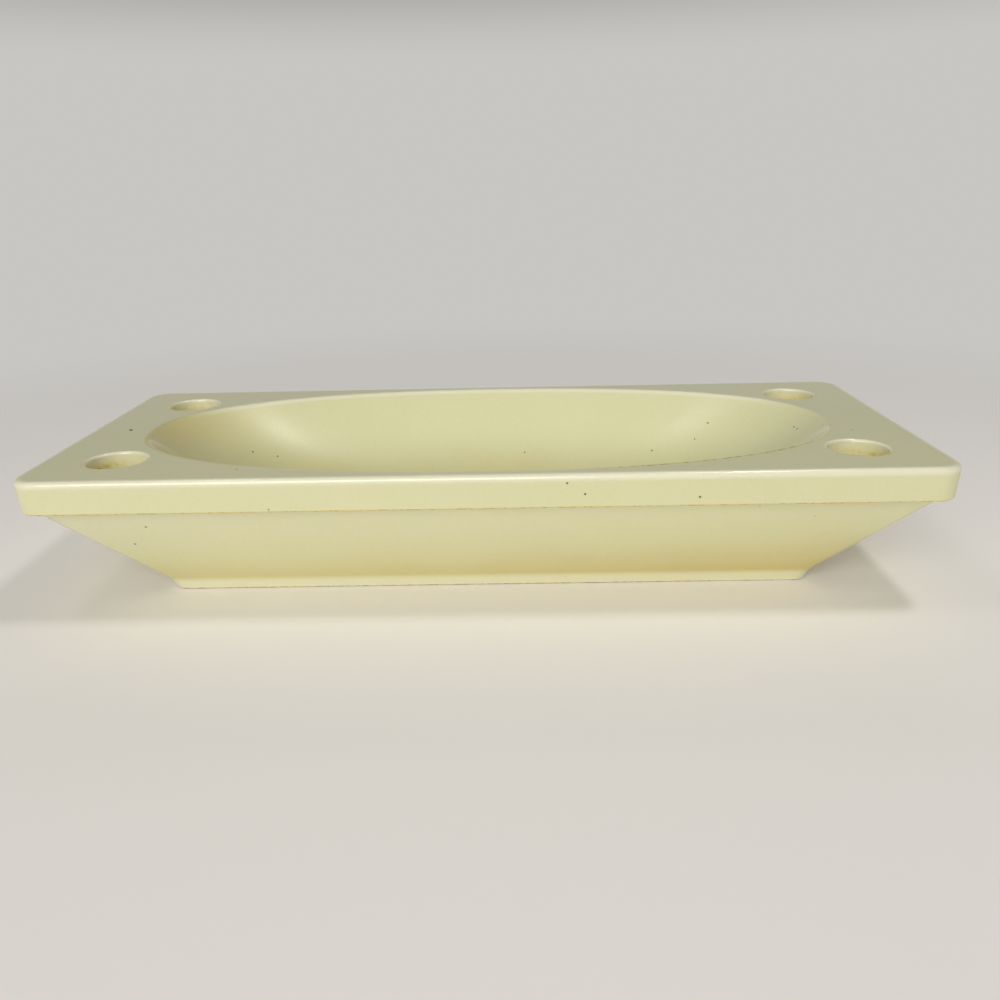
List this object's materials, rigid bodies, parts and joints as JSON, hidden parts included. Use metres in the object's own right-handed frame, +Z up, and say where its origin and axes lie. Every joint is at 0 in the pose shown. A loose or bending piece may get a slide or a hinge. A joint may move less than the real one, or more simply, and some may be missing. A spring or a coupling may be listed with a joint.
{
  "type": "console planter",
  "caption": "Low rectangular glazed pottery planter with an oval basin for plants or flowers and a candle socket at each corner, on a tapered body with a plinth foot.",
  "frame": {"origin": "centre of the foot, on the surface that the planter stands on", "axes": "+Z up, X along the length, the front long side faces -Y"},
  "size_m": [0.343, 0.1446, 0.057],
  "materials": {
    "glaze": "satin pale yellow glaze with small pinholes",
    "basin_glaze": "the same glaze, glossier and deeper where it pools",
    "socket_glaze": "the same glaze, stained brown low in the sockets",
    "foot_glaze": "glazed edge with a dry, unglazed underside"
  },
  "bodies": {
    "root": {"rim_tray": "glaze", "oval_basin": "basin_glaze", "candle_cup_front_left": "socket_glaze", "candle_cup_front_right": "socket_glaze", "candle_cup_back_left": "socket_glaze", "candle_cup_back_right": "socket_glaze", "side_wall": "glaze", "foot_base": "foot_glaze"}
  },
  "joints": []
}
